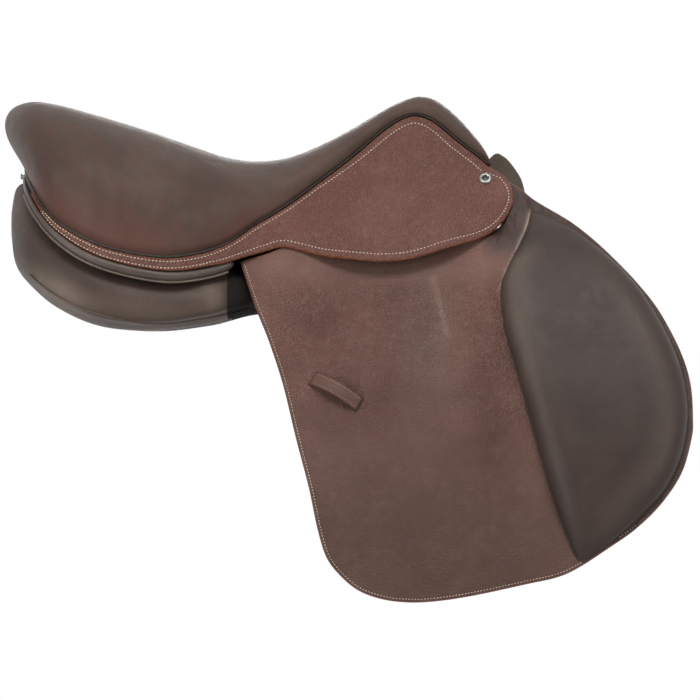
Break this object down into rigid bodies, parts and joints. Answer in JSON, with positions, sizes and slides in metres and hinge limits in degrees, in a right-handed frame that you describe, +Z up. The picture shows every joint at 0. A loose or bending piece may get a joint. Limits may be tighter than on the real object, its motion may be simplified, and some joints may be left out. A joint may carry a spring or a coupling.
{
  "type": "jumping saddle",
  "caption": "English jumping saddle with a deep seat, padded knee blocks, lifting skirts and flaps, girth billets and stirrup bars with safety catches.",
  "frame": {"origin": "on the mirror plane, below the deepest point of the seat, at the line where the panels bear on the back", "axes": "+X to the pommel, +Y to the horse's left, +Z up"},
  "size_m": [0.646, 0.4464, 0.4747],
  "materials": {
    "seat_leather": "smooth calf, semi-matt",
    "skirt_leather": "pebbled, semi-matt",
    "flap_leather": "pebbled, semi-matt",
    "block_leather": "smooth calf, satin",
    "panel_leather": "smooth calf, satin",
    "welt_leather": "satin",
    "inner_leather": "smooth, semi-matt",
    "foam": "matt",
    "webbing": "woven",
    "steel": "polished",
    "tree_wood": "laminated"
  },
  "bodies": {
    "tree": {"tree_head": "tree_wood", "tree_cantle": "tree_wood", "tree_rail_right": "tree_wood", "tree_rail_left": "tree_wood", "tree_point_right": "tree_wood", "tree_point_left": "tree_wood", "gullet_plate": "steel", "tree_springs": "steel", "seat_webs": "webbing", "seat_foam": "foam", "seat_cover": "seat_leather", "seat_welt": "welt_leather", "cantle_roll": "block_leather", "skirt_tail_right": "skirt_leather", "skirt_tail_left": "skirt_leather", "skirt_upper_right": "skirt_leather", "skirt_upper_left": "skirt_leather", "flap_upper_right": "flap_leather", "flap_upper_left": "flap_leather", "knee_tip_right": "block_leather", "knee_tip_left": "block_leather", "sweat_flap_right": "inner_leather", "sweat_flap_left": "inner_leather", "girth_webs_right": "webbing", "girth_webs_left": "webbing", "panel_right": "panel_leather", "panel_left": "panel_leather", "gullet_lining": "inner_leather", "stirrup_bar_right": "steel", "stirrup_bar_left": "steel", "bar_rivets_right": "steel", "bar_rivets_left": "steel", "catch_pin_right": "steel", "catch_pin_left": "steel", "dee_right": "steel", "dee_left": "steel", "dee_chape_right": "skirt_leather", "dee_chape_left": "skirt_leather", "pommel_studs": "steel", "cantle_studs": "steel"},
    "flap_right": {"flap_right": "flap_leather", "knee_block_right": "block_leather", "keeper_right": "skirt_leather"},
    "skirt_right": {"skirt_right": "skirt_leather"},
    "billets_right": {"billet_front_right": "inner_leather", "billet_middle_right": "inner_leather", "billet_rear_right": "inner_leather", "buckle_guard_right": "inner_leather"},
    "catch_right": {"catch_right": "steel"},
    "flap_left": {"flap_left": "flap_leather", "knee_block_left": "block_leather", "keeper_left": "skirt_leather"},
    "skirt_left": {"skirt_left": "skirt_leather"},
    "billets_left": {"billet_front_left": "inner_leather", "billet_middle_left": "inner_leather", "billet_rear_left": "inner_leather", "buckle_guard_left": "inner_leather"},
    "catch_left": {"catch_left": "steel"}
  },
  "joints": [
    {"name": "flap_fold_right", "type": "hinge", "parent": "tree", "child": "flap_right", "pos_m": [0.13748, -0.12855, 0.05448], "axis": [-0.9537, -0.1352, -0.2686], "range_deg": [0, 48]},
    {"name": "flap_fold_left", "type": "hinge", "parent": "tree", "child": "flap_left", "pos_m": [0.13748, 0.12855, 0.05448], "axis": [0.9537, -0.1352, 0.2686], "range_deg": [0, 48]},
    {"name": "skirt_fold_right", "type": "hinge", "parent": "tree", "child": "skirt_right", "pos_m": [0.12494, -0.10169, 0.11308], "axis": [-0.9537, -0.1552, -0.2575], "range_deg": [0, 45]},
    {"name": "skirt_fold_left", "type": "hinge", "parent": "tree", "child": "skirt_left", "pos_m": [0.12494, 0.10169, 0.11308], "axis": [0.9537, -0.1552, 0.2575], "range_deg": [0, 45]},
    {"name": "billet_fold_right", "type": "hinge", "parent": "tree", "child": "billets_right", "pos_m": [0.13748, -0.12855, 0.05448], "axis": [-0.9537, -0.1352, -0.2686], "range_deg": [0, 22]},
    {"name": "billet_fold_left", "type": "hinge", "parent": "tree", "child": "billets_left", "pos_m": [0.13748, 0.12855, 0.05448], "axis": [0.9537, -0.1352, 0.2686], "range_deg": [0, 22]},
    {"name": "catch_turn_right", "type": "hinge", "parent": "tree", "child": "catch_right", "pos_m": [0.14074, -0.09415, 0.11115], "axis": [0, 0.855, -0.5186], "range_deg": [0, 40]},
    {"name": "catch_turn_left", "type": "hinge", "parent": "tree", "child": "catch_left", "pos_m": [0.14074, 0.09415, 0.11115], "axis": [0, 0.855, 0.5186], "range_deg": [0, 40]}
  ],
  "couplings": [
    {"joint": "billet_fold_right", "follows": "flap_fold_right", "ratio": 0.45},
    {"joint": "billet_fold_left", "follows": "flap_fold_left", "ratio": 0.45}
  ]
}
